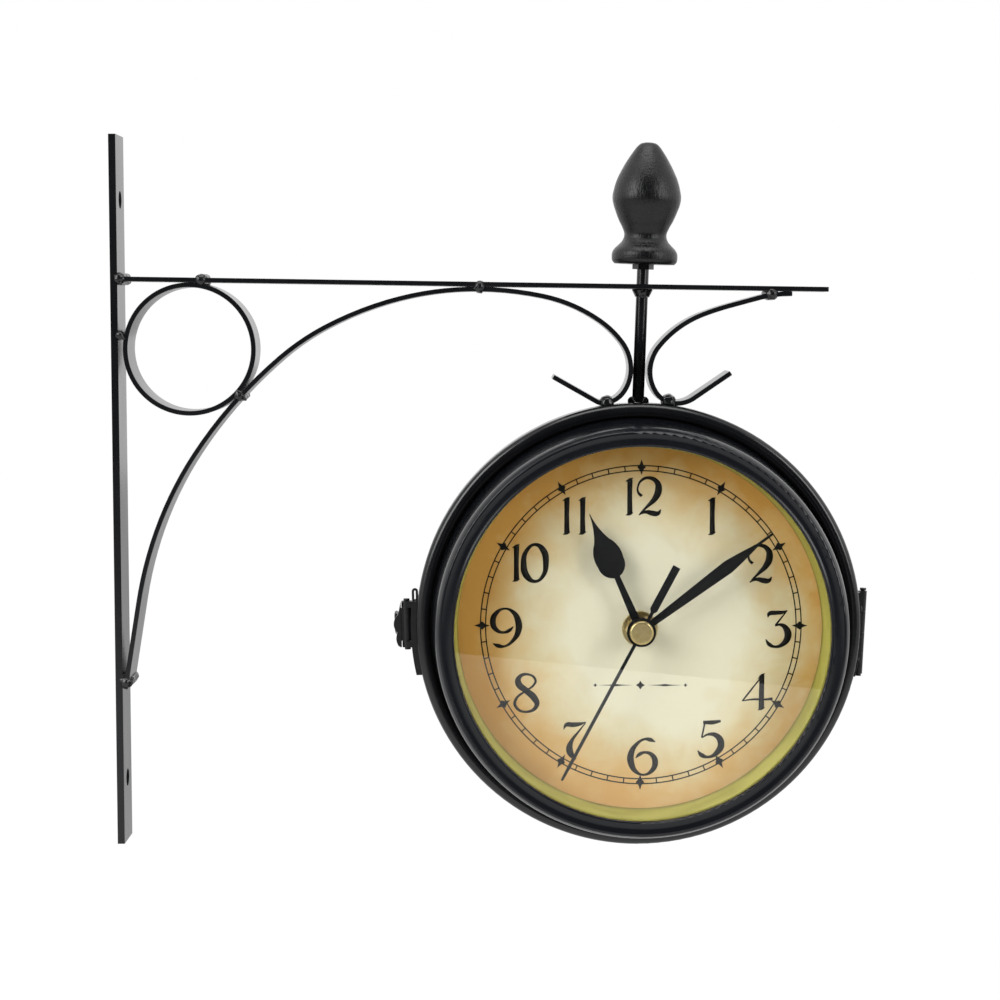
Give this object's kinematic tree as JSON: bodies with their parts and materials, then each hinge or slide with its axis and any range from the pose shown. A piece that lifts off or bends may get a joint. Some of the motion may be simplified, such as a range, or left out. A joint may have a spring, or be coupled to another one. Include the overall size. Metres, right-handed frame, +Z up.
{
  "type": "double sided station clock",
  "caption": "Double sided hanging clock on a scrolled strip-iron wall bracket, with hinged drum halves, working hands, latch and a turned finial.",
  "frame": {"origin": "centre of the wall plate's back face, midway between its two screw holes", "axes": "+X away from the wall along the arm, +Y from the front dial to the rear dial, +Z up"},
  "size_m": [0.2856, 0.0748, 0.268],
  "materials": {
    "bracket_paint": "satin black paint on flat steel",
    "weld_paint": "glossy black paint over weld beads",
    "finial_wood": "black painted turned wood, satin",
    "drum_enamel": "gloss black enamel",
    "bezel_gloss": "gloss black",
    "glass": "clear flat glass",
    "spacer": "yellow-green matt plastic",
    "dial": "aged paper print on a plate",
    "screw_steel": "zinc plated steel",
    "movement_plastic": "moulded black plastic",
    "battery_sleeve": "plain grey sleeve",
    "brass": "radially brushed brass",
    "tube_plastic": "white plastic",
    "knob_plastic": "red plastic",
    "hand_black": "matt black painted sheet",
    "fittings": "black paint over stamped steel"
  },
  "bodies": {
    "root": {"wall_plate": "bracket_paint", "top_arm": "bracket_paint", "scroll_ring": "bracket_paint", "long_brace": "bracket_paint", "outer_scroll": "bracket_paint", "hanger_post": "bracket_paint", "finial": "finial_wood", "finial_nut": "bracket_paint", "weld_beads": "weld_paint", "front_drum_shell": "drum_enamel", "hinge_leaf_front": "fittings", "hinge_pin": "fittings", "latch_base": "fittings", "latch_pin": "fittings", "front_rivets": "fittings", "front_bezel": "bezel_gloss", "front_glass": "glass", "front_spacer_ring": "spacer", "front_dial_plate": "dial", "front_dial_screws": "screw_steel", "front_movement_case": "movement_plastic", "front_battery": "battery_sleeve", "front_shaft_bush": "brass", "front_dial_washer": "brass", "front_dial_nut": "brass"},
    "rear_half": {"rear_drum_shell": "drum_enamel", "hinge_leaf_rear": "fittings", "latch_strike": "fittings", "rear_rivets": "fittings", "rear_bezel": "bezel_gloss", "rear_glass": "glass", "rear_spacer_ring": "spacer", "rear_dial_plate": "dial", "rear_dial_screws": "screw_steel", "rear_movement_case": "movement_plastic", "rear_battery": "battery_sleeve", "rear_shaft_bush": "brass", "rear_dial_washer": "brass", "rear_dial_nut": "brass"},
    "latch_lever": {"latch_lever": "fittings"},
    "latch_loop": {"latch_loop": "fittings"},
    "front_hour": {"front_hour_tube": "tube_plastic", "front_hour_hand": "hand_black"},
    "front_minute": {"front_minute_arbor": "brass", "front_minute_hand": "hand_black"},
    "front_second": {"front_second_arbor": "screw_steel", "front_second_hand": "hand_black", "front_centre_cap": "brass"},
    "front_knob": {"front_setting_knob": "knob_plastic"},
    "rear_hour": {"rear_hour_tube": "tube_plastic", "rear_hour_hand": "hand_black"},
    "rear_minute": {"rear_minute_arbor": "brass", "rear_minute_hand": "hand_black"},
    "rear_second": {"rear_second_arbor": "screw_steel", "rear_second_hand": "hand_black", "rear_centre_cap": "brass"},
    "rear_knob": {"rear_setting_knob": "knob_plastic"}
  },
  "joints": [
    {"name": "rear_half_swing", "type": "hinge", "parent": "root", "child": "rear_half", "pos_m": [0.28336, 0, -0.05388], "axis": [-0.0454, 0, -0.999], "range_deg": [0, 150]},
    {"name": "latch_lever_turn", "type": "hinge", "parent": "root", "child": "latch_lever", "pos_m": [0.11043, -0.0046, -0.05229], "axis": [-0.0262, 0, 0.9997], "range_deg": [0, 70]},
    {"name": "latch_loop_turn", "type": "hinge", "parent": "latch_lever", "child": "latch_loop", "pos_m": [0.10843, -0.0036, -0.05234], "axis": [-0.0262, 0, 0.9997], "range_deg": [-14, 55]},
    {"name": "front_minute_turn", "type": "hinge", "parent": "root", "child": "front_minute", "pos_m": [0.1979, -0.018, -0.05], "axis": [0, 1, 0], "continuous": true},
    {"name": "front_hour_turn", "type": "hinge", "parent": "root", "child": "front_hour", "pos_m": [0.1979, -0.018, -0.05], "axis": [0, 1, 0], "continuous": true},
    {"name": "front_knob_turn", "type": "hinge", "parent": "root", "child": "front_knob", "pos_m": [0.2109, -0.009, -0.041], "axis": [0, 1, 0], "continuous": true},
    {"name": "front_second_turn", "type": "hinge", "parent": "root", "child": "front_second", "pos_m": [0.1979, -0.018, -0.05], "axis": [0, 1, 0], "continuous": true},
    {"name": "rear_minute_turn", "type": "hinge", "parent": "rear_half", "child": "rear_minute", "pos_m": [0.1979, 0.018, -0.05], "axis": [0, -1, 0], "continuous": true},
    {"name": "rear_hour_turn", "type": "hinge", "parent": "rear_half", "child": "rear_hour", "pos_m": [0.1979, 0.018, -0.05], "axis": [0, -1, 0], "continuous": true},
    {"name": "rear_knob_turn", "type": "hinge", "parent": "rear_half", "child": "rear_knob", "pos_m": [0.1849, 0.009, -0.041], "axis": [0, -1, 0], "continuous": true},
    {"name": "rear_second_turn", "type": "hinge", "parent": "rear_half", "child": "rear_second", "pos_m": [0.1979, 0.018, -0.05], "axis": [0, -1, 0], "continuous": true}
  ],
  "couplings": [
    {"joint": "front_hour_turn", "follows": "front_minute_turn", "ratio": 0.083333},
    {"joint": "front_knob_turn", "follows": "front_minute_turn", "ratio": -0.5},
    {"joint": "rear_hour_turn", "follows": "rear_minute_turn", "ratio": 0.083333},
    {"joint": "rear_knob_turn", "follows": "rear_minute_turn", "ratio": -0.5}
  ]
}
